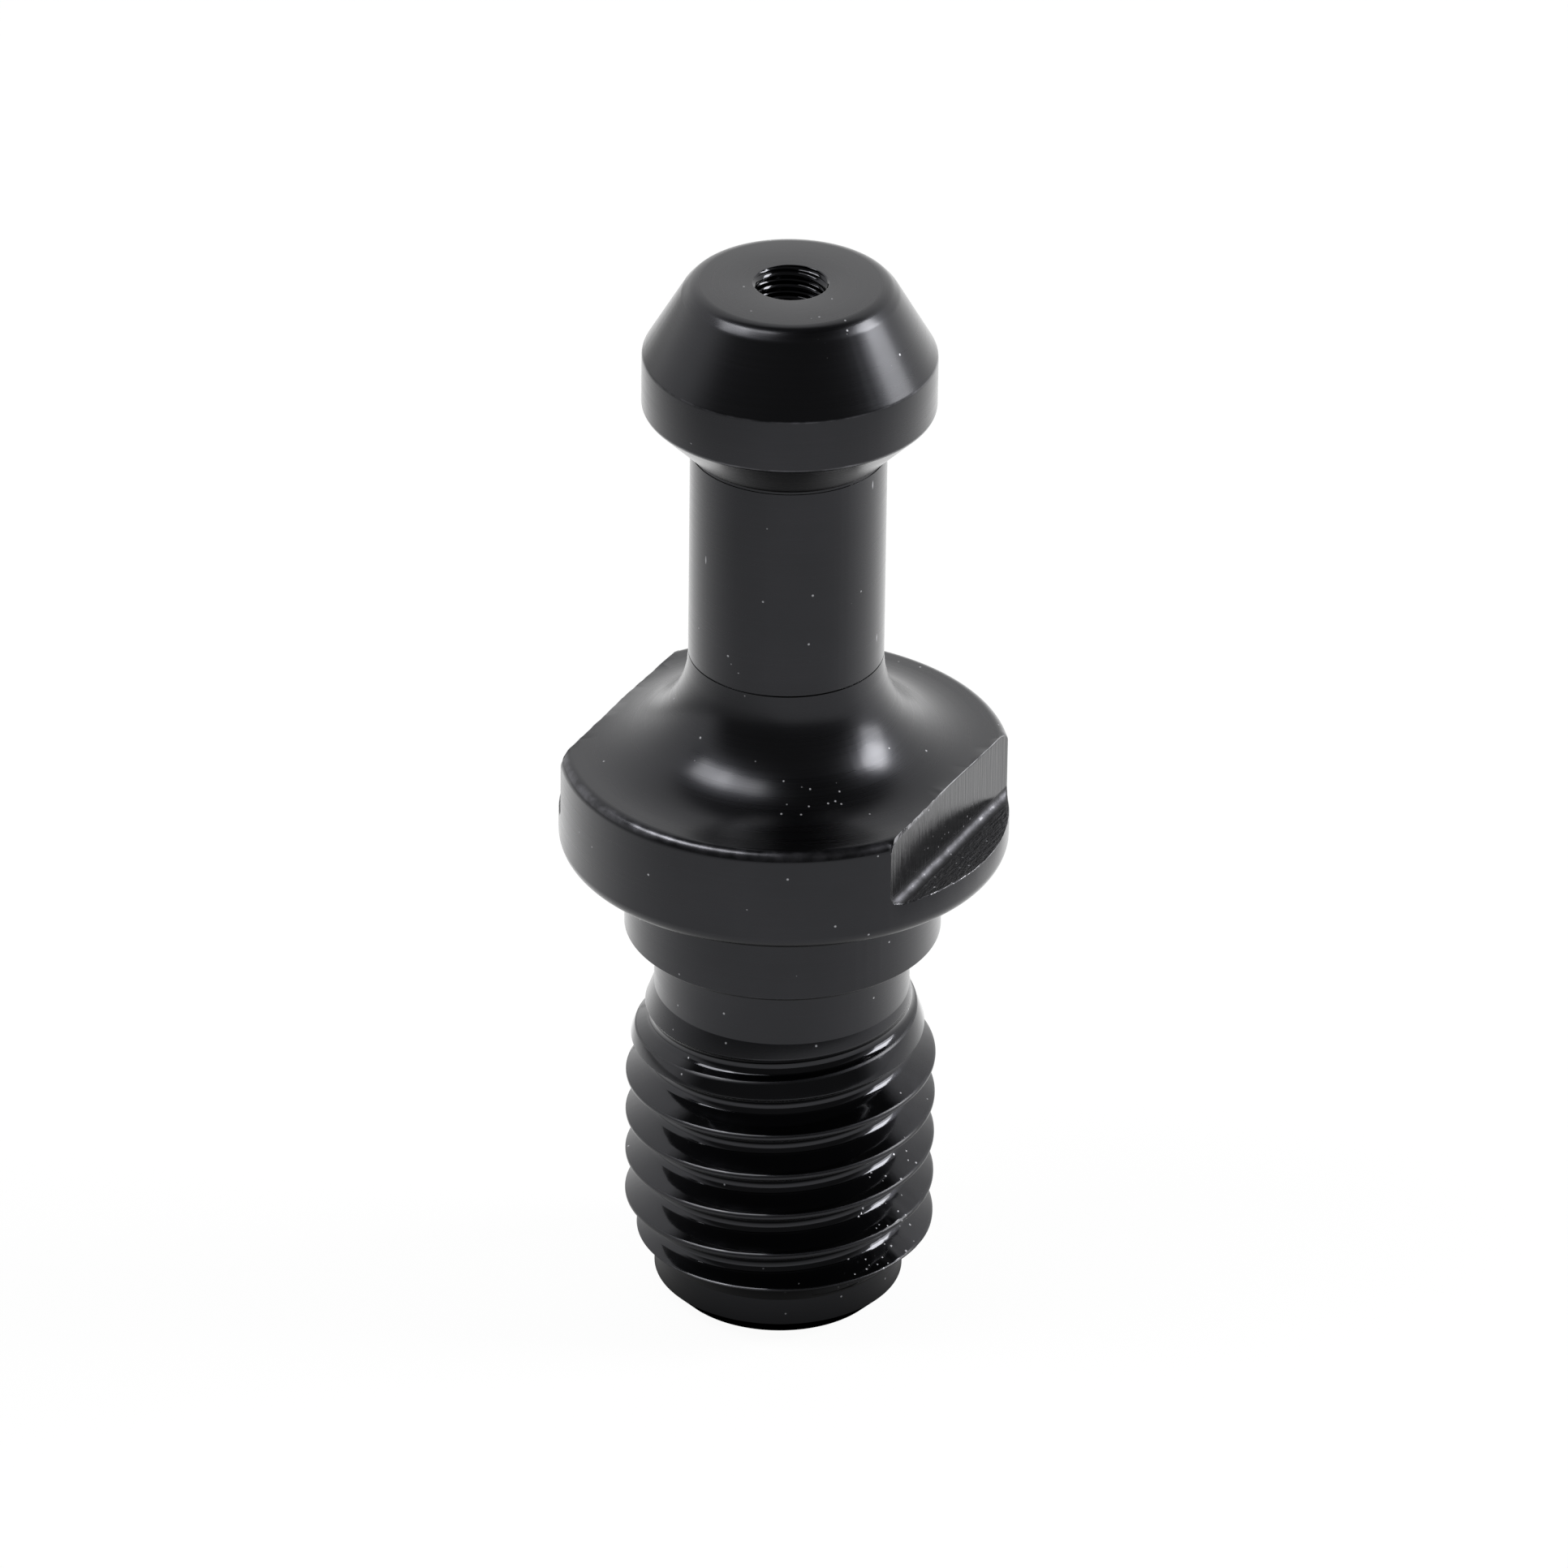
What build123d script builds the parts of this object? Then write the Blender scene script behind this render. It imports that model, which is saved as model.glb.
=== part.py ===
"""Pull stud for a size 30 tool holder: one piece, turned from alloy steel and blackened.

The stud screws into the small end of a taper shank, and the machine's drawbar grips it
under the head and pulls. z = 0 is the underside of the flange, which seats on the end of
the shank. The head is up, the thread is down, and the two wrench flats face along X.
"""
import os
from math import ceil, radians, tan

from build123d import *

# Lengths are in millimetres. Cone and flank angles are in degrees from the cone's own axis
# or, on the thread, from a plane square to it.

# Gripping head
HEAD_DIAMETER = 11.0
HEAD_TOP = 23.7  # above the flange's underside
NOSE_LENGTH = 2.95  # the cone above the head's straight band
NOSE_ANGLE = 30.0
NOSE_EDGE_RADIUS = 0.65
SHOULDER_RADIUS = 0.3  # where the nose runs into the band
BAND_WIDTH = 2.05
BAND_EDGE_RADIUS = 0.25
PULL_ANGLE = 45.0  # the cone under the head, which the grippers pull on

# Neck, and its sweep out to the flange
NECK_DIAMETER = 7.35
FLANGE_LAND = 0.825  # the flat ring between the end of the sweep and the flange's edge

# Flange with two wrench flats
FLANGE_DIAMETER = 17.0
FLANGE_THICKNESS = 4.2
FLANGE_TOP_RADIUS = 0.45
FLANGE_SEAT_RADIUS = 0.6
FLAT_DEPTH = 1.55  # milled in from the flange's edge on each side
SHELF_HEIGHT = 1.45  # the round rim that is left below each flat
FLAT_CORNER_RADIUS = 0.45  # left by the corner of the milling cutter

# Pilot, which centres the stud in the shank's counterbore, and the undercut below it
PILOT_DIAMETER = 12.0
PILOT_LENGTH = 3.6
PILOT_CHAMFER = 0.15
UNDERCUT_DEPTH = 1.05  # below the thread's crests
UNDERCUT_LENGTH = 2.5
RUN_IN_ANGLE = 20.0  # the cone on which the thread starts

# Thread, M12 x 1.75 and right-handed, above a plain tip
THREAD_NOMINAL = 12.0
THREAD_PITCH = 1.75
THREAD_FLANK_ANGLE = 30.0
THREAD_CREST_CUT = 0.1  # how far the blank is turned below the nominal radius
THREAD_ROOT_RADIUS = 0.25
THREAD_RUN_OUT = 1.15  # how far up the undercut the groove's middle runs out
SHOULDER_ANGLE = 45.0  # the cone where the thread ends above the tip
TIP_DEPTH = 1.15  # below the thread's crests
TIP_LENGTH = 1.85
TIP_CHAMFER = 0.75
STUD_BOTTOM = 19.3  # below the flange's underside

# Tapped hole in the head, M3 x 0.5, as a smooth bore at the thread's minor diameter
HOLE_DIAMETER = 2.5
HOLE_DEPTH = 8.0
HOLE_MOUTH_CHAMFER = 0.17
DRILL_POINT_ANGLE = 59.0

TOOL_CLEARANCE = 0.1  # how far a cutting tool stands out of the surface that it cuts


def cone_height(radial_step, angle):
    """Height over which a cone of this angle from its axis moves out by radial_step."""
    return radial_step / tan(radians(angle))


head_r = HEAD_DIAMETER / 2
neck_r = NECK_DIAMETER / 2
flange_r = FLANGE_DIAMETER / 2
pilot_r = PILOT_DIAMETER / 2
crest_r = THREAD_NOMINAL / 2 - THREAD_CREST_CUT
undercut_r = crest_r - UNDERCUT_DEPTH
tip_r = crest_r - TIP_DEPTH
hole_r = HOLE_DIAMETER / 2
sweep_radius = flange_r - FLANGE_LAND - neck_r

band_top = HEAD_TOP - NOSE_LENGTH
band_bottom = band_top - BAND_WIDTH
neck_top = band_bottom - cone_height(head_r - neck_r, PULL_ANGLE)
undercut_bottom = -PILOT_LENGTH - UNDERCUT_LENGTH
run_in_bottom = undercut_bottom - cone_height(crest_r - undercut_r, RUN_IN_ANGLE)
tip_top = TIP_LENGTH - STUD_BOTTOM
thread_bottom = tip_top + cone_height(crest_r - tip_r, SHOULDER_ANGLE)

# The turned profile's corners as (radius, height, rounding), from the head to the tip.
profile = [
    (head_r - NOSE_LENGTH * tan(radians(NOSE_ANGLE)), HEAD_TOP, NOSE_EDGE_RADIUS),
    (head_r, band_top, SHOULDER_RADIUS),
    (head_r, band_bottom, BAND_EDGE_RADIUS),
    (neck_r, neck_top, 0),
    (neck_r, FLANGE_THICKNESS, sweep_radius),
    (flange_r, FLANGE_THICKNESS, FLANGE_TOP_RADIUS),
    (flange_r, 0, FLANGE_SEAT_RADIUS),
    (pilot_r, 0, 0),
    (pilot_r, PILOT_CHAMFER - PILOT_LENGTH, 0),
    (pilot_r - PILOT_CHAMFER, -PILOT_LENGTH, 0),
    (undercut_r, -PILOT_LENGTH, 0),
    (undercut_r, undercut_bottom, 0),
    (crest_r, run_in_bottom, 0),
    (crest_r, thread_bottom, 0),
    (tip_r, tip_top, 0),
    (tip_r, TIP_CHAMFER - STUD_BOTTOM, 0),
    (tip_r - TIP_CHAMFER, -STUD_BOTTOM, 0),
]

# The thread's groove is the V between two flanks of the nominal thread, with a round root.
# Its apex lies where the flanks would meet, 7/8 of the full triangle below the nominal size.
flank_slope = tan(radians(THREAD_FLANK_ANGLE))
triangle_height = THREAD_PITCH / 2 / flank_slope
apex_r = THREAD_NOMINAL / 2 - 7 / 8 * triangle_height
groove_outer_r = crest_r + TOOL_CLEARANCE
groove_half_width = (groove_outer_r - apex_r) * flank_slope
groove_top = undercut_bottom + THREAD_RUN_OUT
groove_turns = ceil((groove_top - tip_top + groove_half_width) / THREAD_PITCH)

# One turn of the groove, which starts and ends in the plane of the stud's +X side.
with BuildPart() as groove_turn:
    with BuildLine():
        helix = Helix(THREAD_PITCH, THREAD_PITCH, groove_outer_r)
    with BuildSketch(Plane.XZ):
        with BuildLine():
            mouth_top = (groove_outer_r, groove_half_width)
            mouth_bottom = (groove_outer_r, -groove_half_width)
            FilletPolyline(mouth_top, (apex_r, 0), mouth_bottom, radius=THREAD_ROOT_RADIUS)
            Line(mouth_bottom, mouth_top)
        make_face()
    sweep(path=helix, is_frenet=True)

with BuildPart() as pull_stud:
    # The blank, as it leaves the lathe
    with BuildSketch(Plane.XZ):
        with BuildLine():
            ends = [(0, HEAD_TOP), (0, -STUD_BOTTOM)]
            outline = [ends[0]] + [(r, z) for r, z, rounding in profile] + [ends[1]]
            FilletPolyline(*outline, radius=[rounding for r, z, rounding in profile])
            Line(*ends)
        make_face()
    revolve(axis=Axis.Z)

    # The external thread: a helical groove, cut turn by turn down from the undercut
    turn_starts = [groove_top - turn * THREAD_PITCH for turn in range(1, groove_turns + 1)]
    with Locations(*[(0, 0, height) for height in turn_starts]):
        add(groove_turn.part, mode=Mode.SUBTRACT)

    # The wrench flats, milled down to a shelf that leaves the flange's lower rim whole
    flat_x = flange_r - FLAT_DEPTH
    flat_height = FLANGE_THICKNESS + sweep_radius - SHELF_HEIGHT
    with BuildSketch(Plane.XZ) as flats_profile:
        with Locations((flat_x, SHELF_HEIGHT)):
            Rectangle(FLAT_DEPTH + TOOL_CLEARANCE, flat_height, align=(Align.MIN, Align.MIN))
        fillet(
            flats_profile.vertices().group_by(Axis.X)[0].sort_by(Axis.Y)[0],
            radius=FLAT_CORNER_RADIUS,
        )
        mirror(about=Plane.YZ)
    extrude(amount=flange_r, both=True, mode=Mode.SUBTRACT)

    # The tapped hole, with a chamfered mouth and the drill's pointed end
    hole_bottom = HEAD_TOP - HOLE_DEPTH
    with BuildSketch(Plane.XZ):
        with BuildLine():
            Polyline(
                (0, HEAD_TOP),
                (hole_r + HOLE_MOUTH_CHAMFER, HEAD_TOP),
                (hole_r, HEAD_TOP - HOLE_MOUTH_CHAMFER),
                (hole_r, hole_bottom),
                (0, hole_bottom - cone_height(hole_r, DRILL_POINT_ANGLE)),
                close=True,
            )
        make_face()
    revolve(axis=Axis.Z, mode=Mode.SUBTRACT)

pull_stud.part.label = "pull_stud"

os.makedirs("parts", exist_ok=True)
export_step(pull_stud.part, "parts/pull_stud.step")
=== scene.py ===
"""A pull stud in black oxide, standing on the end of its thread on a white table.

Sizes are in millimetres, with the stud's axis along Z and z = 0 under its flange, and are
turned to metres as they go into a mesh or a place.
"""
from math import acos, ceil, cos, floor, hypot, pi, radians, sin, sqrt, tan

import bmesh
import bpy
from mathutils import Matrix, Vector, noise


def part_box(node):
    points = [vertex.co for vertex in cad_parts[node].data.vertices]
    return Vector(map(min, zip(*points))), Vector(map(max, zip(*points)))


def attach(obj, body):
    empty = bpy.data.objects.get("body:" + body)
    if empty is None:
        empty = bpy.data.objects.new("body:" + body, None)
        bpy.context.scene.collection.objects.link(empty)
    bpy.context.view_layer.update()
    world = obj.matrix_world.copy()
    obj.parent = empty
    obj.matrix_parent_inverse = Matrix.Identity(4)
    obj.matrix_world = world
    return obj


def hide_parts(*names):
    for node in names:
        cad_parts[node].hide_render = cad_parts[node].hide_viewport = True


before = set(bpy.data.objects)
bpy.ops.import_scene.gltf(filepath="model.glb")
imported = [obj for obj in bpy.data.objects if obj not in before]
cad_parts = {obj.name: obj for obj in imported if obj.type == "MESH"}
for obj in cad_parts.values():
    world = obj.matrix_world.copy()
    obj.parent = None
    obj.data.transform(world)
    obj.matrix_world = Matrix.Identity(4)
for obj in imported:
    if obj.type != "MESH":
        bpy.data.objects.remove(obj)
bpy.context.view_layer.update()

MM = 0.001

# The stud's blank: a bar of alloy steel, turned in one piece. Its outline runs from the point
# of the drilled hole, up and over the head, and down to the end of the shank. An edge that
# nobody rounded on purpose still has the small round that a touch of the file leaves.
lowest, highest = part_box("pull_stud")
stud_top = highest.z / MM
stud_bottom = lowest.z / MM
flange_r = highest.x / MM

nose_length = 2.95
nose_angle = radians(30)
head_r = 5.5
shoulder_round = 0.3
band_width = 2.05
band_edge_round = 0.25
neck_r = 3.675
flange_top = 4.2
flange_land = 0.825  # the flat ring between the sweep and the flange's edge
flange_top_round = 0.45
seat_round = 0.6
pilot_r = 6.0
pilot_bottom = -3.6
pilot_chamfer = 0.15
undercut_r = 4.85
undercut_bottom = -6.1
run_in_angle = radians(20)
crest_r = 5.9
tip_r = 4.75
tip_length = 1.85
tip_chamfer = 0.75
bore_r = 1.25
mouth_r = 1.42
drill_depth = 8.0
tapping_depth = 4.0
drill_point_angle = radians(59)
edge_break = 0.05

nose_r = head_r - nose_length * tan(nose_angle)
band_top = stud_top - nose_length
band_bottom = band_top - band_width
neck_top = band_bottom - (head_r - neck_r)
sweep_radius = flange_r - flange_land - neck_r
sweep_top = flange_top + sweep_radius
run_in_bottom = undercut_bottom - (crest_r - undercut_r) / tan(run_in_angle)
tip_top = stud_bottom + tip_length
thread_bottom = tip_top + crest_r - tip_r
hole_bottom = stud_top - drill_depth

# A crowned bevel breaks the edge round the top of the nose.
bevel_r = 3.42
bevel_drop = 0.42
bevel_end_r = nose_r + bevel_drop * tan(nose_angle)
crown_r = bevel_r + 0.3
crown_drop = 0.08
crown_round = 0.6

# Where two cuts meet on the neck they leave a fine groove, whose lower wall is steep.
groove_depth = 0.03
groove_wall = 0.2 * groove_depth
upper_groove_height = 4 * groove_depth
lower_groove_height = 2 * groove_depth

# Each corner is (place, radius, height, rounding).
corners = [
    ("hole", 0, hole_bottom - bore_r / tan(drill_point_angle), 0),
    ("hole", bore_r, hole_bottom, 0),
    ("tapping", bore_r, stud_top - tapping_depth, 0),
    ("tapping", bore_r, stud_top - (mouth_r - bore_r), 0),
    ("face", mouth_r, stud_top, edge_break),
    ("nose", bevel_r, stud_top, crown_round),
    ("nose", crown_r, stud_top - crown_drop, crown_round),
    ("nose", bevel_end_r, stud_top - bevel_drop, crown_round),
    ("band", head_r, band_top, shoulder_round),
    ("underside", head_r, band_bottom, band_edge_round),
    ("neck", neck_r - groove_depth, neck_top - groove_depth, 0),
    ("neck", neck_r - groove_depth, neck_top - upper_groove_height + groove_wall, 0),
    ("neck", neck_r, neck_top - upper_groove_height, 0),
    ("neck", neck_r, sweep_top + lower_groove_height, 0),
    ("neck", neck_r - groove_depth, sweep_top + groove_wall, 0),
    ("sweep", neck_r, sweep_top, 0),
    ("sweep", neck_r, flange_top, sweep_radius),
    ("flange", flange_r, flange_top, flange_top_round),
    ("seat", flange_r, 0, seat_round),
    ("pilot", pilot_r, 0, edge_break),
    ("pilot", pilot_r, pilot_bottom + pilot_chamfer, edge_break),
    ("pilot", pilot_r - pilot_chamfer, pilot_bottom, edge_break),
    ("undercut", undercut_r, pilot_bottom, 2 * edge_break),
    ("undercut", undercut_r, undercut_bottom, edge_break),
    ("shank", crest_r, run_in_bottom, 0),
    ("shank", crest_r, thread_bottom, edge_break),
    ("tip", tip_r, tip_top, edge_break),
    ("tip", tip_r, stud_bottom + tip_chamfer, edge_break),
    ("end", tip_r - tip_chamfer, stud_bottom, edge_break),
    ("end", 0, stud_bottom, 0),
]
arc_step = radians(9)
largest_rubbed_round = 0.5  # handling wears only edges that are sharper than this


class Row:
    """One point of a column down the stud's side.

    Its name is what the columns next to it are matched by. Rub is 0 on plain metal, about 1
    on an edge that handling wears, 2 on a burr, and up to 1.3 along the round corner of a flat,
    where it is a painted sheen. Run is how far along the outline it lies.
    """

    def __init__(self, name, r, z, rub=0.0, run=0.0):
        self.name = name
        self.place = name[0]
        self.r = r
        self.z = z
        self.rub = rub
        self.run = run


def turn_outline(corners):
    """The rows of an outline, with each corner taken round its arc."""
    rows = [Row((corners[0][0], "start"), *corners[0][1:3])]
    for number in range(1, len(corners) - 1):
        place, r, z, rounding = corners[number]
        here = Vector((r, z))
        back = (Vector(corners[number - 1][1:3]) - here).normalized()
        ahead = (Vector(corners[number + 1][1:3]) - here).normalized()
        half_angle = back.angle(ahead) / 2
        centre = here + (back + ahead).normalized() * rounding / sin(half_angle)
        arm = here + back * rounding / tan(half_angle) - centre
        outside = back.cross(ahead) > 0
        bend = (pi - 2 * half_angle) * (-1 if outside else 1)
        steps = max(2, ceil(abs(bend) / arc_step)) if rounding else 0
        for step in range(steps + 1):
            share = step / steps if steps else 0
            spot = centre + Matrix.Rotation(bend * share, 2) @ arm
            rub = sin(pi * share) if outside and rounding < largest_rubbed_round else 0
            rows.append(Row((place, number, step), spot.x, spot.y, rub))
    rows.append(Row((corners[-1][0], "finish"), *corners[-1][1:3]))
    for before, row in zip(rows, rows[1:]):
        row.run = before.run + hypot(row.r - before.r, row.z - before.z)
    return rows


blank = turn_outline(corners)

# The two wrench flats: a cutter with a rounded corner mills them in from the flange's edge,
# and leaves the flange's lower rim standing as a shelf. Along each flat's top edge it drags
# up a burr, heaviest at the end of the +X flat where it broke out.
flat_depth = 1.55
flat_x = flange_r - flat_depth
shelf_z = 1.45
flat_corner = 0.34  # the round corner between the flat and the shelf
corner_steps = 6
round_middle = 0.3  # how far in the middle of a small round lies, as a share of its radius
curve_gap = 0.03  # how far a plain face's last row keeps from the curve next to it
rim_gap = 0.02
hair = 1e-6  # too short a length to matter

smear_height = 0.06  # how far down the flat the burr's bright metal is smeared
smear_end = 0.1
burr_inner_rub = 0.5
burr_tip_rub = 2
burr_outer_rub = 1.6
smear_rub = 1.3
# painted sheen: the round corner between flat and shelf is painted a lighter grey band through the same
# mask as rubbed edges
painted_corner_sheen = 1.3
rim_rub = 1.8
full_rub_width = 0.6  # the rim is rubbed less where the shelf's floor is narrower than this

least_burr = 0.2  # a clean edge's burr, as a share of the heaviest
burr_start_y = 1.0  # on the +X flat the burr grows towards -Y, from here
burr_growth = 3.0  # and over this length


def angle_off_flat(angle):
    """How far round an angle lies from the middle of the nearer flat."""
    return abs((angle + pi / 2) % pi - pi / 2)


def burr_share(x, y):
    """How heavy a flat's burr is at a place, as a share of the heaviest."""
    grown = (burr_start_y - y) / burr_growth
    return min(max(grown, least_burr), 1) if x > 0 else least_burr


def milled_z(x):
    """Height of the shelf, or of the round corner beside it, at a distance from the middle."""
    reach = max(0, min(x - flat_x, flat_corner))
    return shelf_z + flat_corner - sqrt(flat_corner**2 - (flat_corner - reach) ** 2)


def mill_flats(rows, angle):
    """The column at this angle, with whatever stands outside the flats cut away."""
    lean = cos(angle_off_flat(angle))
    if flat_x / lean > flange_r + hair:
        return rows
    flat_r = min(flat_x / lean, flange_r)
    round_off = min(edge_break, flange_r - flat_r)
    round_in = round_middle * round_off
    cut_places = ("sweep", "flange")
    first = next(i for i, row in enumerate(rows) if row.place in cut_places and row.r >= flat_r - hair)
    above, below = rows[first - 1], rows[first]
    share = (flat_r - above.r) / (below.r - above.r)
    top_z = above.z + share * (below.z - above.z)
    slope = (top_z - above.z) / max(flat_r - above.r, hair)
    torn = burr_share(cos(angle), flat_r * sin(angle))

    def milled(name, r, z, rub=0.0):
        return Row(name, r, z, rub, above.run)

    made = [
        milled(("flat", "top", 0), flat_r - round_off, top_z - slope * round_off, burr_inner_rub * torn),
        milled(("flat", "top", 1), flat_r - round_in, top_z - round_in, burr_tip_rub),
        milled(("flat", "top", 2), flat_r, top_z - round_off, burr_outer_rub * torn),
        milled(("flat", "side", 0), flat_r, top_z - round_off - smear_height, smear_rub * torn),
        milled(("flat", "side", 2), flat_r, top_z - round_off - smear_end),
        milled(("flat", "side", 1), flat_r, shelf_z + flat_corner + curve_gap),
    ]
    for step in range(corner_steps + 1):
        x = flat_x + flat_corner * (1 - cos(pi / 2 * step / corner_steps))
        if x / lean <= flange_r - round_off + hair:
            # painted sheen along the round corner, not wear
            rub = painted_corner_sheen * sin(pi * step / corner_steps)
            made.append(milled(("corner", step), x / lean, milled_z(x), rub))
    floor_r = (flat_x + flat_corner + curve_gap) / lean
    if floor_r < flange_r - round_off - curve_gap:
        made.append(milled(("shelf", "floor", 0), floor_r, shelf_z))
        made.append(milled(("shelf", "floor", 1), flange_r - round_off - rim_gap, shelf_z))
    inner_z = milled_z((flange_r - round_off) * lean)
    rim_z = milled_z(flange_r * lean)
    rub = rim_rub * min(max((flange_r - floor_r) / full_rub_width, 0), 1)
    made += [
        milled(("shelf", "rim", 0), flange_r - round_off, inner_z),
        milled(("shelf", "rim", 1), flange_r - round_in, rim_z - round_in, rub),
        milled(("rim", "rim", 2), flange_r, rim_z - round_off),
    ]
    kept = [row for row in rows[:first] if row.place not in cut_places or row.r < flat_r - round_off]
    seat = next(i for i, row in enumerate(rows) if row.place == "seat")
    return kept + made + rows[seat:]


# The threads: M12 x 1.75 is rolled on the shank, with a round root, and M3 x 0.5 is tapped in
# the hole. Both are right-handed helices, so each turn of a groove passes a column a little
# higher than it passed the one before.
flank_angle = radians(30)
flank_slope = tan(flank_angle)
shank_pitch = 1.75
shank_run_out = 1.15  # how far up the undercut the groove's middle runs out
shank_groove_top = undercut_bottom + shank_run_out
shank_root_r = 4.924
shank_root_radius = 0.4
shank_apex_r = shank_root_r - shank_root_radius
shank_softness = 0.1  # how wide the thread's edge blends from its crest into its flank

tap_pitch = 0.5
tap_lead = 0.25  # how far above the head the groove's middle starts
tap_groove_top = stud_top + tap_lead
tap_root_r = 1.5
tap_root_flat = 0.03  # half the width of the root's flat
tap_upper_slope = tan(radians(55))
tap_soft_slope = tan(radians(38))  # the tap's worn crests and roots round off at about this angle
tap_steep_slope = tan(radians(71))
tap_soft_height = 0.085
tap_steep_height = 0.044
tap_lip = 0.04  # the groove stays inside the hole's mouth down to here
tap_lip_slope = 3  # and widens this steeply below it
tap_softness = 0.03

root_gap = 1.2  # how far a root's rows keep from the thread's edge, as a share of its blend
least_cut = 1 / 20  # a turn counts as cut where it is this share of its softness deep
halvings = 24


def shank_groove(offset, middle):
    """Radius of the shank's groove at a height above or below its middle."""
    if abs(offset) >= shank_root_radius * cos(flank_angle):
        return shank_apex_r + abs(offset) / flank_slope
    centre = shank_apex_r + shank_root_radius / sin(flank_angle)
    return centre - sqrt(shank_root_radius**2 - offset**2)


def tap_groove(offset, middle):
    """Radius of the tapped groove at a height above or below its middle."""
    below_lip = max(0, stud_top - tap_lip - (middle + offset))
    fall = abs(offset) - tap_root_flat
    if offset > 0:
        flank = tap_root_r - fall * tap_upper_slope
    else:
        soft_root = tap_root_r - fall * tap_soft_slope
        steep = soft_root - max(fall - tap_soft_height, 0) * (tap_steep_slope - tap_soft_slope)
        crest_fall = 2 * tap_soft_height + tap_steep_height
        flank = max(steep, bore_r + (crest_fall - fall) * tap_soft_slope)
    return min(tap_root_r, flank, mouth_r + tap_lip_slope * below_lip)


# Where a column's rows lie in a groove, as heights from its middle, closest where it bends.
shank_half_offsets = [0.07, 0.14, 0.22, 0.3, 0.346, 0.55]
shank_thread = {
    "pitch": shank_pitch,
    "groove_top": shank_groove_top,
    "groove": shank_groove,
    "inward": 1,
    "offsets": [-offset for offset in reversed(shank_half_offsets)] + [0] + shank_half_offsets,
    "softness": shank_softness,
}
tapped_thread = {
    "pitch": tap_pitch,
    "groove_top": tap_groove_top,
    "groove": tap_groove,
    "inward": -1,
    "offsets": [-0.2, -0.165, -0.152, -0.122, -0.108, -0.07, -0.03, 0.03, 0.1],
    "softness": tap_softness,
}


def radius_at(rows, z):
    """Radius of a stretch of outline at a height."""
    for before, after in zip(rows, rows[1:]):
        low, high = sorted((before.z, after.z))
        if low <= z <= high and high > low:
            return before.r + (after.r - before.r) * (z - before.z) / (after.z - before.z)
    return rows[0].r if abs(z - rows[0].z) < abs(z - rows[-1].z) else rows[-1].r


def cut_thread(place, stretch, angle, pitch, groove_top, groove, inward, offsets, softness):
    """The rows of a stretch of outline, with those of a helical groove let in.

    Inward is 1 where the groove cuts towards the axis, and -1 where it cuts away from it.
    """
    top = max(row.z for row in stretch)
    bottom = min(row.z for row in stretch)
    blend = softness * flank_slope

    def depth(offset, middle):
        """How deep the groove cuts into the uncut surface, or less than 0 where it doesn't."""
        return inward * radius_at(stretch, middle + offset) - inward * groove(offset, middle)

    def cut_r(z, middle):
        """Radius of the threaded surface, with a soft edge between crest and flank."""
        before = inward * radius_at(stretch, z)
        after = inward * groove(z - middle, middle)
        soft = max(softness - abs(before - after), 0) ** 2 / softness / 4
        return inward * (min(before, after) - soft)

    def groove_edge(start, side, middle):
        """Height above the groove's middle at which it runs out, on one side of the start."""
        near, far = start, side * pitch / 2
        for _ in range(halvings):
            half = (near + far) / 2
            near, far = (half, far) if depth(half, middle) > 0 else (near, half)
        return near

    made = []
    cleared = []
    passes = groove_top + pitch * angle / (2 * pi)
    for turn in range(floor((passes - top) / pitch), ceil((passes - bottom) / pitch) + 1):
        middle = passes - turn * pitch
        inside = [offset for offset in offsets if depth(offset, middle) > softness * least_cut]
        if not inside:
            continue
        upper = groove_edge(max(inside), 1, middle)
        lower = groove_edge(min(inside), -1, middle)
        spots = [
            (("root", number), offset, 0)
            for number, offset in enumerate(offsets)
            if lower + blend * root_gap < offset < upper - blend * root_gap
        ]
        for side, edge in ((1, upper), (-1, lower)):
            for number in range(-2, 3):
                offset = edge + side * number * blend / 2
                spots.append((("edge", side, number), offset, 1 - abs(number) / 2))
        for name, offset, rub in spots:
            z = middle + offset
            if bottom < z < top:
                made.append(Row((place, turn, name), cut_r(z, middle), z, rub, -z))
        cleared.append((middle + lower - blend, middle + upper + blend))
    kept = [row for row in stretch if not any(low < row.z < high for low, high in cleared)]
    going_down = stretch[0].z > stretch[-1].z
    return sorted(kept + made, key=lambda row: -row.z if going_down else row.z)


def threaded(rows, angle):
    """The column at this angle, with both threads cut."""
    tapping = [i for i, row in enumerate(rows) if row.place == "tapping"]
    shank = [i for i, row in enumerate(rows) if row.place == "shank"]
    tap_start, tap_end = tapping[0], tapping[-1] + 2
    shank_start, shank_end = shank[0] - 1, shank[-1] + 2
    tapped = cut_thread("tapped thread", rows[tap_start:tap_end], angle, **tapped_thread)
    rolled = cut_thread("shank thread", rows[shank_start:shank_end], angle, **shank_thread)
    return rows[:tap_start] + tapped + rows[tap_end:shank_start] + rolled + rows[shank_end:]


# Knocks and burrs: the lower turns of the thread are chewed on one side, and a ragged edge
# of torn metal stands along the top of each flat and, finer, along the shelf's rim.
chewed_place = Vector((5.8, -1.0, -14.8))
chewed_reach = 2.4
chewed_depth = 0.035
dents_per_mm = 7
dent_level = 0.1
burr_height = 0.16
burrs_per_mm = 2.3
burr_level = 0.55  # its middle height, as a share
burr_lean = 0.3  # how far a burr leans out, as a share of its height
burr_fill = 0.9  # how far it fills in the round of the flange's edge, as a share
burr_fade = 0.1  # it dies away over this length before the flange's edge
rim_burr_height = 0.07
rim_burrs_per_mm = 3.1


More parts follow.
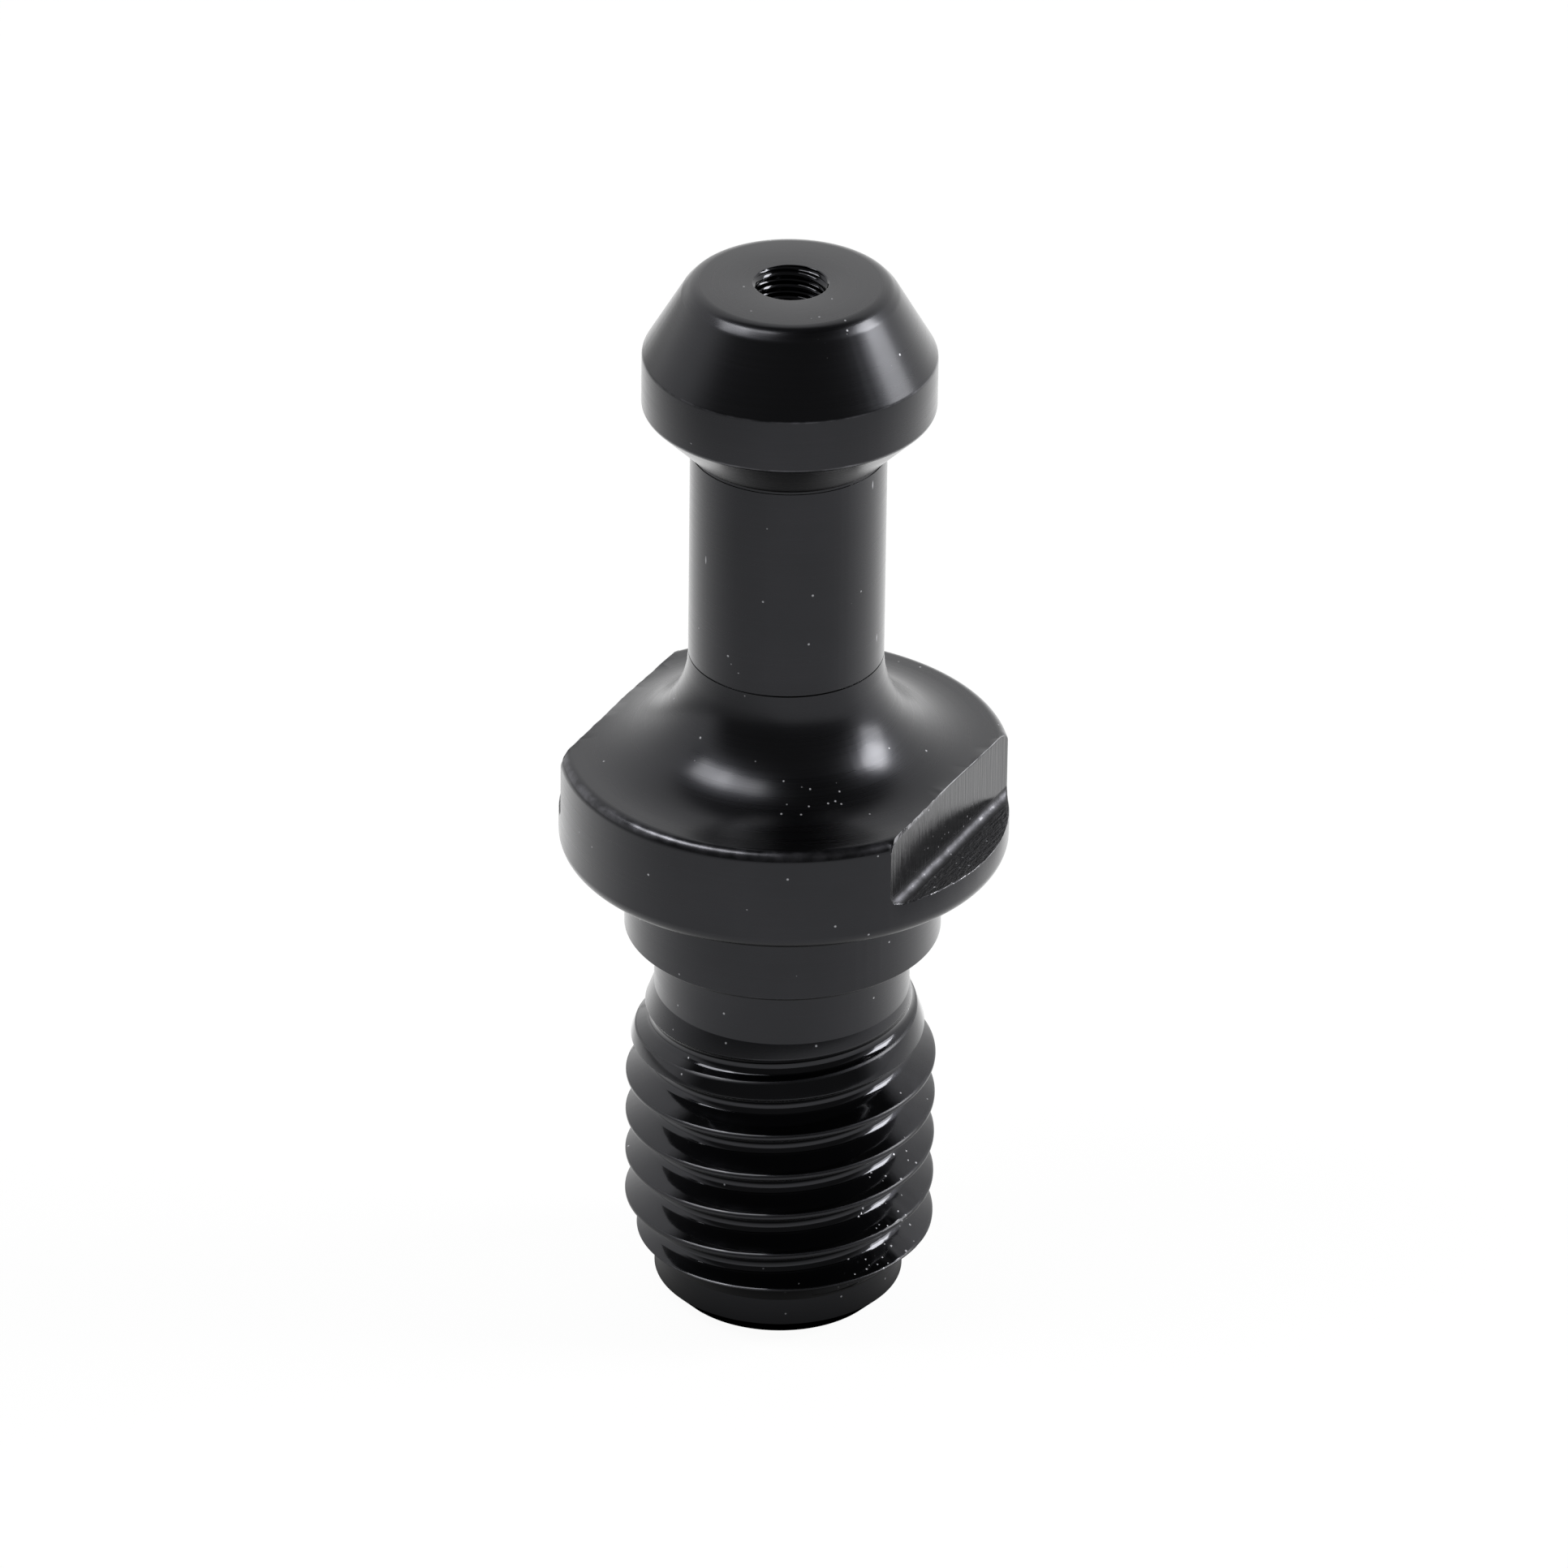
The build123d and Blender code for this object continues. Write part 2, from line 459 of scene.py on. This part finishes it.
def knocked(row, angle):
    """Where a row's point lies at an angle, after knocks and burrs, in millimetres."""
    spot = Vector((row.r * cos(angle), row.r * sin(angle), row.z))
    if row.place.startswith("shank"):
        near = max(0, 1 - (spot - chewed_place).length / chewed_reach)
        dent = chewed_depth * near * max(0, noise.noise(spot * dents_per_mm) + dent_level)
        return spot * (1 - dent / row.r) if dent else spot
    if row.name[:2] == ("shelf", "rim") and row.rub:
        raised = rim_burr_height * max(0, noise.noise(spot * rim_burrs_per_mm))
        return spot + Vector((0, 0, raised))
    if row.name == ("flat", "top", 1):
        side = 1 if spot.x > 0 else -1
        heavy = burr_share(spot.x, spot.y) * min((flange_r - row.r) / burr_fade, 1)
        ragged = burr_height * heavy * (burr_level + noise.noise(spot * burrs_per_mm))
        standing = burr_fill * heavy * max(0, flange_top - spot.z)
        return spot + Vector((ragged * burr_lean * side, 0, ragged + standing))
    return spot


# The stud's skin: one closed surface, woven from columns round the axis. Columns stand
# exactly where the flats run out through the sweep, the flange's edge and the rim, so those
# lines stay crisp.
column_count = 180
crowding = 0.35  # an even column nearer than this share of a step to an exact one is left out
weld_gap = 0.0005
sharpest_smooth_angle = radians(28)

# The finishes that the machining leaves, in the order of the skin's materials.
finishes = ["turned", "side milled", "rolled thread", "end milled", "ploughed corner", "crest"]
finish_of_place = {
    "flat": "side milled",
    "corner": "ploughed corner",
    "shelf": "end milled",
    "shank thread": "rolled thread",
    "tapped thread": "rolled thread",
}


def column_angles():
    """Angles of the columns, from 0 to a full turn."""
    exact = {0, pi / 2}
    for x, r in (
        (flat_x, flange_r),
        (flat_x, flange_r - flange_top_round),
        (flat_x, neck_r + sweep_radius),
        (flat_x + flat_corner, flange_r),
    ):
        exact.add(acos(x / r))
    exact |= {pi - angle for angle in exact}
    exact |= {pi + angle for angle in exact}
    step = 2 * pi / column_count
    even = [step * number for number in range(column_count)]
    even = [angle for angle in even if min(abs(angle - fixed) for fixed in exact) > step * crowding]
    return sorted(exact | set(even))


def finish_number(row):
    """Which finish a row has, as the number of its material."""
    finish = finish_of_place.get(row.place, "turned")
    if row.place == "shank thread" and row.rub:
        finish = "crest"
    return finishes.index(finish)


def weave(mesh, left, right, left_verts, right_verts):
    """Fills the strip between two columns: four-cornered where both have a row, else three."""
    right_at = {row.name: j for j, row in enumerate(right)}
    i = j = 0
    while i < len(left) - 1 or j < len(right) - 1:
        next_left = left[i + 1].name if i < len(left) - 1 else None
        next_right = right[j + 1].name if j < len(right) - 1 else None
        row = left[i]
        if next_left is not None and next_left == next_right:
            ring = (left_verts[i], left_verts[i + 1], right_verts[j + 1], right_verts[j])
            i, j = i + 1, j + 1
        elif next_left is not None and right_at.get(next_left, -1) <= j:
            ring = (left_verts[i], left_verts[i + 1], right_verts[j])
            i += 1
        else:
            ring = (left_verts[i], right_verts[j + 1], right_verts[j])
            row = right[j]
            j += 1
        face = mesh.faces.new(ring)
        face.material_index = finish_number(row)
        face.smooth = True


mesh = bmesh.new()
rub_and_sheen_layer = mesh.verts.layers.float.new("rub")
run_layer = mesh.verts.layers.float.new("run")
previous = None
for angle in column_angles():
    rows = threaded(mill_flats(blank, angle), angle)
    verts = []
    for row in rows:
        vert = mesh.verts.new(knocked(row, angle) * MM)
        vert[rub_and_sheen_layer] = row.rub
        vert[run_layer] = row.run
        verts.append(vert)
    if previous:
        weave(mesh, previous[0], rows, previous[1], verts)
    previous = (rows, verts)
bmesh.ops.remove_doubles(mesh, verts=mesh.verts, dist=weld_gap * MM)
bmesh.ops.recalc_face_normals(mesh, faces=mesh.faces)
skin = bpy.data.meshes.new("blackened_pull_stud")
mesh.to_mesh(skin)
mesh.free()
skin.set_sharp_from_angle(angle=sharpest_smooth_angle)
stud = bpy.data.objects.new("blackened_pull_stud", skin)
bpy.context.scene.collection.objects.link(stud)
even_shading = stud.modifiers.new("even_shading", "WEIGHTED_NORMAL")
even_shading.keep_sharp = True


# The finish: after machining, the whole stud is blackened in a hot salt bath and oiled. That
# leaves a thin skin of black iron oxide over the bright steel. It shows every mark of the
# tool, goes grey where it is rubbed, and shows bright steel where it is nicked or torn. The
# round corner of each flat is painted grey in the same way, as a painted sheen.
oxide_dark = "#1B1C1F"
oxide_pale = "#252529"
rubbed_steel_and_sheen = "#55555A"
bare_steel = "#A8A8AC"
oxide_patch = 2.857  # width of the oxide's darker and paler patches
rub_grain = 0.5556  # and of the patches in which an edge rubs through
grey_from = 0.3  # how rubbed a place is, out of 1, where the oxide starts to go grey
bright_from = 0.75  # and where bright steel starts to show
nick_edge = 0.5  # a nick is at its brightest over this share of its reach

# Nicks are drawn about 0.1 mm across, as finer ones don't show in the render.
dot_spacing = 0.7692
dot_reach = 0.0538
dot_crowd = 4.545  # width of the patches in which dots are few or many
few_level, many_level = 0.45, 0.7  # the values of the patches' noise for the fewest and most
fewest_dots, most_dots = 0.2, 0.8
scratch_spacing = 0.9091
scratch_reach = 0.0409
scratch_stretch = (1, 1, 0.2)  # scratches run up and down, five times as long as wide
scratch_share = 0.12
scuff_spacing = 0.2381
scuff_reach = 0.0524
scuffed_most = 0.5

noise_low, noise_high = 0.3, 0.7  # between these lie most of a noise texture's values
nick_roughness = 0.3
oil_cover = 0.5
oil_ior = 1.47


def linear(hex_colour):
    """An sRGB hex colour as linear red, green and blue, with an alpha of 1."""
    parts = [int(hex_colour[i : i + 2], 16) / 255 for i in (1, 3, 5)]
    return [p / 12.92 if p <= 0.04045 else ((p + 0.055) / 1.055) ** 2.4 for p in parts] + [1]


def per_metre(width):
    """How many times a pattern repeats in a metre, from its width in millimetres."""
    return 1 / (width * MM)


def add(tree, kind, inputs=None, **settings):
    """Adds a node, sets its properties, and fills or links its inputs by name or number."""
    made = tree.nodes.new(kind)
    for name, value in settings.items():
        setattr(made, name, value)
    for socket, value in (inputs or {}).items():
        if isinstance(value, bpy.types.NodeSocket):
            tree.links.new(value, made.inputs[socket])
        else:
            made.inputs[socket].default_value = value
    return made


def new_material(name):
    """An empty material and its node tree."""
    material = bpy.data.materials.new(name)
    material.use_nodes = True
    material.node_tree.nodes.clear()
    return material, material.node_tree


def nicks(tree, place, stretch, spacing, reach, share):
    """A mask of small nicks: 1 inside a nick and 0 elsewhere. Share says how many are kept."""
    size = reach / spacing
    way = add(tree, "ShaderNodeVectorMath", {0: place, 1: stretch}, operation="MULTIPLY").outputs[0]
    cells = add(tree, "ShaderNodeTexVoronoi", {"Vector": way, "Scale": per_metre(spacing)}).outputs
    near = add(tree, "ShaderNodeMapRange", {
        "Value": cells["Distance"], "From Min": size, "From Max": size * nick_edge,
    }).outputs[0]
    luck = add(tree, "ShaderNodeSeparateColor", {0: cells["Color"]}).outputs[0]
    chosen = add(tree, "ShaderNodeMath", {0: luck, 1: share}, operation="LESS_THAN").outputs[0]
    return add(tree, "ShaderNodeMath", {0: near, 1: chosen}, operation="MULTIPLY").outputs[0]


def scuffed_share(tree, place, scuffs):
    """How much of the surface is scuffed, from places in millimetres with their reach."""
    most = 0.0
    for spot, reach in scuffs:
        away = add(tree, "ShaderNodeVectorMath", {
            0: place, 1: Vector(spot) * MM,
        }, operation="DISTANCE").outputs["Value"]
        share = add(tree, "ShaderNodeMapRange", {
            "Value": away, "From Max": reach * MM, "To Min": scuffed_most, "To Max": 0.0,
        }).outputs[0]
        most = add(tree, "ShaderNodeMath", {0: share, 1: most}, operation="MAXIMUM").outputs[0]
    return most


def worn_oxide_and_sheen(tree, place, rub, scuffs):
    """The oxide's colour with rubbed edges, nicks and the painted sheen along the flats' corners let in,
    and the mask of the bright marks.
    """
    clouds = add(tree, "ShaderNodeTexNoise", {
        "Vector": place, "Scale": per_metre(oxide_patch), "Detail": 4.0,
    }).outputs[0]
    colour = add(tree, "ShaderNodeMix", {
        0: clouds, 6: linear(oxide_dark), 7: linear(oxide_pale),
    }, data_type="RGBA").outputs[2]

    grain = add(tree, "ShaderNodeTexNoise", {
        "Vector": place, "Scale": per_metre(rub_grain), "Detail": 4.0,
    }).outputs[0]
    rubbed_and_sheen = add(tree, "ShaderNodeMath", {0: rub, 1: grain}, operation="MULTIPLY").outputs[0]
    worn_and_sheen = add(tree, "ShaderNodeMapRange", {
        "Value": rubbed_and_sheen, "From Min": grey_from, "From Max": bright_from,
    }).outputs[0]
    torn = add(tree, "ShaderNodeMapRange", {"Value": rubbed_and_sheen, "From Min": bright_from}).outputs[0]
    colour = add(tree, "ShaderNodeMix", {
        0: worn_and_sheen, 6: colour, 7: linear(rubbed_steel_and_sheen),
    }, data_type="RGBA").outputs[2]
    colour = add(tree, "ShaderNodeMix", {
        0: torn, 6: colour, 7: linear(bare_steel),
    }, data_type="RGBA").outputs[2]

    crowd = add(tree, "ShaderNodeTexNoise", {
        "Vector": place, "Scale": per_metre(dot_crowd), "Detail": 2.0,
    }).outputs[0]
    dot_share = add(tree, "ShaderNodeMapRange", {
        "Value": crowd, "From Min": few_level, "From Max": many_level,
        "To Min": fewest_dots, "To Max": most_dots,
    }).outputs[0]
    scuff_share = scuffed_share(tree, place, scuffs)
    marks = torn
    for mask in (
        nicks(tree, place, (1, 1, 1), dot_spacing, dot_reach, dot_share),
        nicks(tree, place, scratch_stretch, scratch_spacing, scratch_reach, scratch_share),
        nicks(tree, place, (1, 1, 1), scuff_spacing, scuff_reach, scuff_share),
    ):
        marks = add(tree, "ShaderNodeMath", {0: marks, 1: mask}, operation="MAXIMUM").outputs[0]
    colour = add(tree, "ShaderNodeMix", {
        0: marks, 6: colour, 7: linear(bare_steel),
    }, data_type="RGBA").outputs[2]
    return colour, marks


def oiled_steel(tree, colour, roughness, relief, relief_height, film_roughness):
    """Steel under black oxide, with a thin film of oil that covers about half of it."""
    bump = add(tree, "ShaderNodeBump", {
        "Strength": 1.0, "Distance": relief_height * MM, "Height": relief,
    }).outputs[0]
    shader = add(tree, "ShaderNodeBsdfPrincipled", {
        "Base Color": colour, "Metallic": 1.0, "Roughness": roughness, "Normal": bump,
        "Coat Weight": oil_cover, "Coat Roughness": film_roughness, "Coat IOR": oil_ior,
        "Coat Normal": bump,
    }).outputs[0]
    add(tree, "ShaderNodeOutputMaterial", {0: shader})


# Oiled black oxide on turned steel: satin near-black with faint rings from the tool's feed,
# greyer where the edges are rubbed, and pricked with small nicks.
ring_spacing = 1 / 9  # the tool's feed for each turn of the work
ring_waver = 16.67  # width of the patches round the stud in which the rings are alike
ring_depth = 0.0004
turned_smoothest, turned_roughest = 0.26, 0.32
turned_film = 0.22
turned_scuffs = [
    ((2.75, -2.62, 23.6), 1.2),
    ((3.4, -4.55, 4.7), 1.9),
    ((-0.13, -3.67, 9.0), 0.6),
    ((3.49, -1.15, 12.0), 0.6),
]


def oiled_black_oxide_on_turned_steel():
    material, tree = new_material("oiled_black_oxide_on_turned_steel")
    place = add(tree, "ShaderNodeTexCoord").outputs["Object"]
    run = add(tree, "ShaderNodeAttribute", attribute_name="run").outputs["Fac"]
    rub = add(tree, "ShaderNodeAttribute", attribute_name="rub").outputs["Fac"]
    waver = (per_metre(ring_waver), per_metre(ring_waver), 0)
    round_way = add(tree, "ShaderNodeVectorMath", {0: place, 1: waver}, operation="MULTIPLY").outputs[0]
    feed = add(tree, "ShaderNodeMath", {0: run, 1: 1 / ring_spacing}, operation="MULTIPLY").outputs[0]
    feed_way = add(tree, "ShaderNodeCombineXYZ", {2: feed}).outputs[0]
    ring_way = add(tree, "ShaderNodeVectorMath", {0: round_way, 1: feed_way}, operation="ADD").outputs[0]
    rings = add(tree, "ShaderNodeTexNoise", {
        "Vector": ring_way, "Scale": 1.0, "Detail": 3.0, "Roughness": 0.6,
    }).outputs[0]
    colour, marks = worn_oxide_and_sheen(tree, place, rub, turned_scuffs)
    rough = add(tree, "ShaderNodeMapRange", {
        "Value": rings, "From Min": noise_low, "From Max": noise_high,
        "To Min": turned_smoothest, "To Max": turned_roughest,
    }).outputs[0]
    rough = add(tree, "ShaderNodeMath", {
        0: marks, 1: nick_roughness, 2: rough,
    }, operation="MULTIPLY_ADD").outputs[0]
    oiled_steel(tree, colour, rough, rings, ring_depth, turned_film)
    return material


# Oiled black oxide on milled steel: glossier than the turned steel, with fine lines from the
# cutter's teeth. The lines run straight up and down on the flats, and in a coarse grain along
# the shelf. On the ploughed corner between them they are short, dull and ragged, and the corner
# is painted a lighter grey band along its length, a painted sheen.
milled_scuffs = [((7.9, -1.5, 1.2), 2.2), ((7.7, 0.8, 1.4), 2.0)]
tooth_unevenness = 0.1  # how much rougher the steel is between the lines


def oiled_black_oxide_on_milled_steel(name, line_spacing, line_depth, smoothest):
    """Line spacing is how far apart the lines lie along X, Y and Z, in millimetres."""
    material, tree = new_material(name)
    place = add(tree, "ShaderNodeTexCoord").outputs["Object"]
    rub = add(tree, "ShaderNodeAttribute", attribute_name="rub").outputs["Fac"]
    tooth_marks = [per_metre(spacing) for spacing in line_spacing]
    tooth_way = add(tree, "ShaderNodeVectorMath", {
        0: place, 1: tooth_marks,
    }, operation="MULTIPLY").outputs[0]
    lines = add(tree, "ShaderNodeTexNoise", {
        "Vector": tooth_way, "Scale": 1.0, "Detail": 3.0, "Roughness": 0.7,
    }).outputs[0]
    colour, marks = worn_oxide_and_sheen(tree, place, rub, milled_scuffs)
    rough = add(tree, "ShaderNodeMapRange", {
        "Value": lines, "From Min": noise_low, "From Max": noise_high,
        "To Min": smoothest, "To Max": smoothest + tooth_unevenness,
    }).outputs[0]
    rough = add(tree, "ShaderNodeMath", {
        0: marks, 1: nick_roughness, 2: rough,
    }, operation="MULTIPLY_ADD").outputs[0]
    oiled_steel(tree, colour, rough, lines, line_depth, smoothest)
    return material


# Oiled black oxide on rolled thread: rolling presses the flanks smooth, so they are much
# glossier than the turned steel. The crests are duller and rubbed grey, and the side that has
# been handled is hazed and chewed.
ripple_width = 0.6667
ripple_height = 0.003
ripple_unevenness = 0.06
thread_rub = 0.6  # the thread's edges are rubbed this much less than the stud's
crest_roughness = 0.2
haze_roughness = 1.2
chewed_roughness = 0.4
chewed_scuffs = [(chewed_place, 2.9), ((5.4, -1.6, -16.6), 2.4), ((5.9, -0.8, -12.0), 1.8)]
hazed_spots = [((5.9, 0.6, z), 2.3) for z in (-8.5, -11.0, -13.5, -16.0)]


def oiled_black_oxide_on_rolled_thread(name, smoothest):
    material, tree = new_material(name)
    place = add(tree, "ShaderNodeTexCoord").outputs["Object"]
    rub = add(tree, "ShaderNodeAttribute", attribute_name="rub").outputs["Fac"]
    faint_rub = add(tree, "ShaderNodeMath", {0: rub, 1: thread_rub}, operation="MULTIPLY").outputs[0]
    colour, marks = worn_oxide_and_sheen(tree, place, faint_rub, chewed_scuffs)
    hazed = scuffed_share(tree, place, hazed_spots)
    ripple = add(tree, "ShaderNodeTexNoise", {
        "Vector": place, "Scale": per_metre(ripple_width), "Detail": 3.0,
    }).outputs[0]
    haze = add(tree, "ShaderNodeMath", {0: hazed, 1: ripple}, operation="MULTIPLY").outputs[0]
    rough = add(tree, "ShaderNodeMapRange", {
        "Value": ripple, "From Min": noise_low, "From Max": noise_high,
        "To Min": smoothest, "To Max": smoothest + ripple_unevenness,
    }).outputs[0]
    for mask, roughness in (
        (rub, crest_roughness), (haze, haze_roughness), (marks, chewed_roughness),
    ):
        rough = add(tree, "ShaderNodeMath", {
            0: mask, 1: roughness, 2: rough,
        }, operation="MULTIPLY_ADD").outputs[0]
    oiled_steel(tree, colour, rough, ripple, ripple_height, smoothest)
    return material


materials = {
    "turned": oiled_black_oxide_on_turned_steel(),
    "side milled": oiled_black_oxide_on_milled_steel(
        "oiled_black_oxide_on_side_milled_steel",
        line_spacing=(1 / 3, 1 / 7, 4), line_depth=0.012, smoothest=0.12,
    ),
    "rolled thread": oiled_black_oxide_on_rolled_thread(
        "oiled_black_oxide_on_rolled_thread", smoothest=0.08,
    ),
    "end milled": oiled_black_oxide_on_milled_steel(
        "oiled_black_oxide_on_end_milled_steel",
        line_spacing=(1 / 8, 2 / 3, 1 / 8), line_depth=0.05, smoothest=0.1,
    ),
    "ploughed corner": oiled_black_oxide_on_milled_steel(
        "oiled_black_oxide_on_ploughed_corner",
        line_spacing=(1 / 3, 1 / 7, 1 / 3), line_depth=0.01, smoothest=0.42,
    ),
    "crest": oiled_black_oxide_on_rolled_thread(
        "oiled_black_oxide_on_thread_crest", smoothest=0.3,
    ),
}
for finish in finishes:
    skin.materials.append(materials[finish])
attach(stud, "root")
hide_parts("pull_stud")

# The table: a matt white board, far wider than the stud. The camera sees it plain white, apart
# from the stud's faint shadow. The steel mirrors it as a glow with a painted shadow, greyer close
# to the stud's end, and painted light, brighter on the picture's right than on its left and in front.
camera_turn = radians(26.7)  # how far the picture's right is turned from +X
table_size = 4000
board_white = "#F4F4F4"
own_light = 0.95  # how much of what the camera sees of the board is its own even white
shade_near = 4.9
shade_far = 28
shade_curve = 0.5
left_edge = -160  # the mirrored board is dimmest to the left of here
right_edge = -20  # and brightest to the right of here
left_light = 0.6
right_light = 1.25
front_edge = 30  # from here to the camera it is a little dimmer
front_light = 0.76
bpy.ops.mesh.primitive_plane_add(size=table_size * MM, location=(0, 0, stud_bottom * MM))
table = bpy.context.object
table.name = "white_table"


def matt_white_board():
    material, tree = new_material("matt_white_board")
    ray = add(tree, "ShaderNodeLightPath").outputs
    place = add(tree, "ShaderNodeTexCoord").outputs["Object"]
    seen = add(tree, "ShaderNodeMath", {
        0: ray["Is Camera Ray"], 1: ray["Is Transmission Ray"],
    }, operation="MAXIMUM").outputs[0]
    share = add(tree, "ShaderNodeMath", {0: seen, 1: own_light}, operation="MULTIPLY").outputs[0]
    share = add(tree, "ShaderNodeMath", {
        0: share, 1: ray["Is Glossy Ray"],
    }, operation="MAXIMUM").outputs[0]

    # painted shadow near the stud's end and painted light to the right, in the glow that the steel
    # mirrors
    away = add(tree, "ShaderNodeVectorMath", {0: place}, operation="LENGTH").outputs["Value"]
    shade = add(tree, "ShaderNodeMapRange", {
        "Value": away, "From Min": shade_near * MM, "From Max": shade_far * MM,
    }).outputs[0]
    shade = add(tree, "ShaderNodeMath", {0: shade, 1: shade_curve}, operation="POWER").outputs[0]
    rightward = add(tree, "ShaderNodeVectorMath", {
        0: place, 1: (cos(camera_turn), sin(camera_turn), 0),
    }, operation="DOT_PRODUCT").outputs["Value"]
    frontward = add(tree, "ShaderNodeVectorMath", {
        0: place, 1: (sin(camera_turn), -cos(camera_turn), 0),
    }, operation="DOT_PRODUCT").outputs["Value"]
    lit = add(tree, "ShaderNodeMapRange", {
        "Value": rightward, "From Min": left_edge * MM, "From Max": right_edge * MM,
        "To Min": left_light, "To Max": right_light,
    }).outputs[0]
    front = add(tree, "ShaderNodeMapRange", {
        "Value": frontward, "From Max": front_edge * MM, "To Min": 1.0, "To Max": front_light,
    }).outputs[0]
    lit = add(tree, "ShaderNodeMath", {0: lit, 1: front}, operation="MULTIPLY").outputs[0]
    lit = add(tree, "ShaderNodeMath", {0: lit, 1: shade}, operation="MULTIPLY").outputs[0]
    lit = add(tree, "ShaderNodeMix", {
        0: ray["Is Camera Ray"], 2: lit, 3: 1.0,
    }, data_type="FLOAT").outputs[0]

    matt = add(tree, "ShaderNodeBsdfDiffuse", {"Color": linear(board_white)}).outputs[0]
    glow = add(tree, "ShaderNodeEmission", {"Color": (1, 1, 1, 1), "Strength": lit}).outputs[0]
    mixed = add(tree, "ShaderNodeMixShader", {0: share, 1: matt, 2: glow}).outputs[0]
    add(tree, "ShaderNodeOutputMaterial", {0: mixed})
    return material


table.data.materials.append(matt_white_board())

# The room: white walls, dark overhead and on the camera's side. The camera sees plain white.
wall_light = 1.15
camera_side_light = 0.14
camera_side_edge = 0.5  # cosine of the angle off the camera within which the walls are darkest
ceiling_lean = 0.8  # the dark overhead reaches lower at the sides than behind and in front
ceiling_start = 0.36
ceiling_full = 0.6
ceiling_light = 0.04
darkest = 0.05
room = bpy.data.worlds.new("white_room")
bpy.context.scene.world = room
room.use_nodes = True
tree = room.node_tree
tree.nodes.clear()
ray = add(tree, "ShaderNodeLightPath").outputs
way = add(tree, "ShaderNodeTexCoord").outputs["Generated"]
facing = add(tree, "ShaderNodeVectorMath", {
    0: way, 1: (sin(camera_turn), -cos(camera_turn), 0),
}, operation="DOT_PRODUCT").outputs["Value"]
up = add(tree, "ShaderNodeSeparateXYZ", {0: way}).outputs[2]
aside = add(tree, "ShaderNodeMath", {0: facing}, operation="ABSOLUTE").outputs[0]
tilted = add(tree, "ShaderNodeMath", {
    0: aside, 1: -ceiling_lean, 2: up,
}, operation="MULTIPLY_ADD").outputs[0]
wall = add(tree, "ShaderNodeMapRange", {
    "Value": facing, "From Max": camera_side_edge, "To Min": wall_light, "To Max": camera_side_light,
}, interpolation_type="SMOOTHSTEP").outputs[0]
ceiling = add(tree, "ShaderNodeMapRange", {
    "Value": tilted, "From Min": ceiling_start, "From Max": ceiling_full,
    "To Min": 1.0, "To Max": ceiling_light,
}, interpolation_type="SMOOTHSTEP").outputs[0]
walls = add(tree, "ShaderNodeMath", {0: wall, 1: ceiling}, operation="MULTIPLY").outputs[0]
walls = add(tree, "ShaderNodeMath", {0: walls, 1: darkest}, operation="MAXIMUM").outputs[0]
strength = add(tree, "ShaderNodeMix", {
    0: ray["Is Camera Ray"], 2: walls, 3: 1.0,
}, data_type="FLOAT").outputs[0]
background = add(tree, "ShaderNodeBackground", {
    "Color": (1, 1, 1, 1), "Strength": strength,
}).outputs[0]
add(tree, "ShaderNodeOutputWorld", {0: background})

# The lamps: four soft boxes at the heights that the photograph's highlights show, two on the
# right, one above the other, and two wide tilted ones on the left.
lamp_distance = 600


def soft_lamp(name, azimuth, elevation, width, height, roll, brightness):
    """A lamp aimed at the stud. Azimuth is from the picture's right towards the camera, and
    width and height are angles seen from the stud. Brightness 1 is white."""
    lamp = bpy.data.lights.new(name, "AREA")
    lamp.shape = "RECTANGLE"
    lamp.size = 2 * lamp_distance * MM * tan(radians(width / 2))
    lamp.size_y = 2 * lamp_distance * MM * tan(radians(height / 2))
    lamp.energy = brightness * pi * lamp.size * lamp.size_y
    holder = bpy.data.objects.new(name, lamp)
    bpy.context.scene.collection.objects.link(holder)
    turn = Matrix.Rotation(camera_turn - radians(azimuth), 4, "Z")
    tilt = Matrix.Rotation(-radians(elevation), 4, "Y")
    out = turn @ tilt @ Vector((lamp_distance * MM, 0, 0))
    aim = out.to_track_quat("Z", "Y").to_matrix().to_4x4()
    holder.matrix_world = Matrix.Translation(out) @ aim @ Matrix.Rotation(radians(roll), 4, "Z")


soft_lamp("right_lamp", azimuth=-4, elevation=33, width=19, height=20, roll=0, brightness=20)
soft_lamp("right_low_lamp", azimuth=-3, elevation=16, width=22, height=14, roll=0, brightness=7)
soft_lamp("left_lamp", azimuth=173, elevation=52, width=22, height=17, roll=47, brightness=9.5)
soft_lamp("left_high_lamp", azimuth=148, elevation=64, width=24, height=15, roll=47, brightness=6)

# The camera: a long lens half a metre away, looking down on the stud at about 30 degrees. Its
# place was found by fitting the stud's outline to the picture, which is 1932 pixels wide.
picture_width = 1932
focal_pixels = 16738.4
sensor = 36
nearest_seen = 10
camera_distance = 513
camera_elevation = radians(29.498)
camera_roll = radians(0.7626)
aim_right = -0.0162
aim_down = 2.1164
lens = bpy.data.cameras.new("camera")
lens.sensor_width = sensor
lens.lens = focal_pixels / picture_width * sensor
lens.clip_start = nearest_seen * MM
camera = bpy.data.objects.new("camera", lens)
bpy.context.scene.collection.objects.link(camera)
camera.matrix_world = (
    Matrix.Rotation(camera_turn, 4, "Z")
    @ Matrix.Rotation(pi / 2 - camera_elevation, 4, "X")
    @ Matrix.Rotation(camera_roll, 4, "Z")
    @ Matrix.Translation(Vector((-aim_right, aim_down, camera_distance)) * MM)
)
bpy.context.scene.camera = camera
bpy.context.scene.view_settings.view_transform = "Standard"
